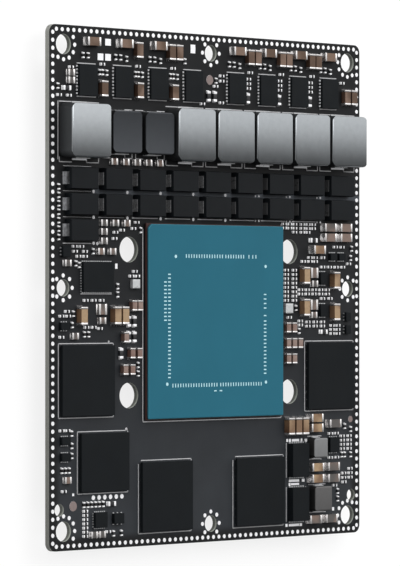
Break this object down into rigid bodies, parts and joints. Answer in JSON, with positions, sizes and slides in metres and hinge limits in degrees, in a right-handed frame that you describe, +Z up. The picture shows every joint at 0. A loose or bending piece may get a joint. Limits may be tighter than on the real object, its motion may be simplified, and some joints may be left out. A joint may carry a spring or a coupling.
{
  "type": "system on module",
  "caption": "Bare black circuit module with a large square processor, memory chips, a row of power inductors, capacitors and a board-to-board connector on its back.",
  "frame": {"origin": "centre of the board, at the mating face of the connector on its back", "axes": "+X to the right along the board's width, +Y to the back along its length, where the power stages are, +Z up out of the parts side"},
  "size_m": [0.087, 0.1, 0.0088],
  "materials": {
    "solder_mask_board": "black solder mask on glass fibre laminate",
    "filled_via": "tinned",
    "package_laminate": "red-brown laminate",
    "teal_lid": "matt teal coat",
    "solder": "bright solder",
    "chip_mould": "matt black moulding compound",
    "lead_tin": "tinned",
    "silver_core": "smooth silver-grey pressed powder",
    "dark_core": "dark grey pressed powder",
    "terminal_tin": "tinned strip",
    "capacitor_mould": "black moulded case",
    "coil_ferrite": "light grey ferrite",
    "oscillator_case": "plain metal case",
    "brown_ceramic": "fired brown ceramic",
    "tan_ceramic": "fired tan ceramic",
    "grey_ceramic": "fired grey ceramic",
    "beige_ceramic": "fired beige ceramic",
    "resistor_black": "black glaze",
    "chip_end_tin": "tinned, with solder",
    "connector_plastic": "black glass-filled plastic",
    "contact_gold": "gold flash"
  },
  "bodies": {
    "root": {"circuit_board": "solder_mask_board", "edge_vias": "filled_via", "screw_hole_vias": "filled_via", "bare_pads": "filled_via", "processor_substrate": "package_laminate", "processor_lid": "teal_lid", "processor_solder_balls": "solder", "memory_solder_balls": "solder", "memory_left": "chip_mould", "memory_right": "chip_mould", "memory_lower_centre": "chip_mould", "memory_lower_right": "chip_mould", "storage_chip": "chip_mould", "power_stage_1": "chip_mould", "power_stage_2": "chip_mould", "power_stage_3": "chip_mould", "power_stage_4": "chip_mould", "power_stage_5": "chip_mould", "power_stage_6": "chip_mould", "power_stage_7": "chip_mould", "power_stage_8": "chip_mould", "converter_upper": "chip_mould", "converter_lower": "chip_mould", "power_controller": "chip_mould", "supervisor_chip": "chip_mould", "small_chips": "chip_mould", "power_stage_leads": "lead_tin", "converter_leads": "lead_tin", "controller_leads": "lead_tin", "small_chip_leads": "lead_tin", "phase_inductor_1": "silver_core", "phase_inductor_4": "silver_core", "phase_inductor_5": "silver_core", "phase_inductor_6": "silver_core", "phase_inductor_7": "silver_core", "phase_inductor_8": "silver_core", "phase_inductor_2": "dark_core", "phase_inductor_3": "dark_core", "phase_inductor_terminals": "terminal_tin", "bulk_capacitor_terminals": "terminal_tin", "converter_inductor_terminals": "terminal_tin", "bulk_capacitors_upper_row": "capacitor_mould", "bulk_capacitors_lower_row": "capacitor_mould", "bulk_capacitor_left_end": "capacitor_mould", "converter_inductor_upper": "coil_ferrite", "converter_inductor_lower": "coil_ferrite", "crystal_oscillators": "oscillator_case", "input_capacitors": "brown_ceramic", "small_capacitors": "brown_ceramic", "output_capacitors": "tan_ceramic", "bypass_capacitors": "grey_ceramic", "medium_capacitors": "beige_ceramic", "back_capacitors": "beige_ceramic", "chip_resistors": "resistor_black", "large_capacitor_ends": "chip_end_tin", "medium_capacitor_ends": "chip_end_tin", "small_chip_ends": "chip_end_tin", "back_capacitor_ends": "chip_end_tin", "board_connector_housing": "connector_plastic", "board_connector_contacts": "contact_gold"}
  },
  "joints": []
}
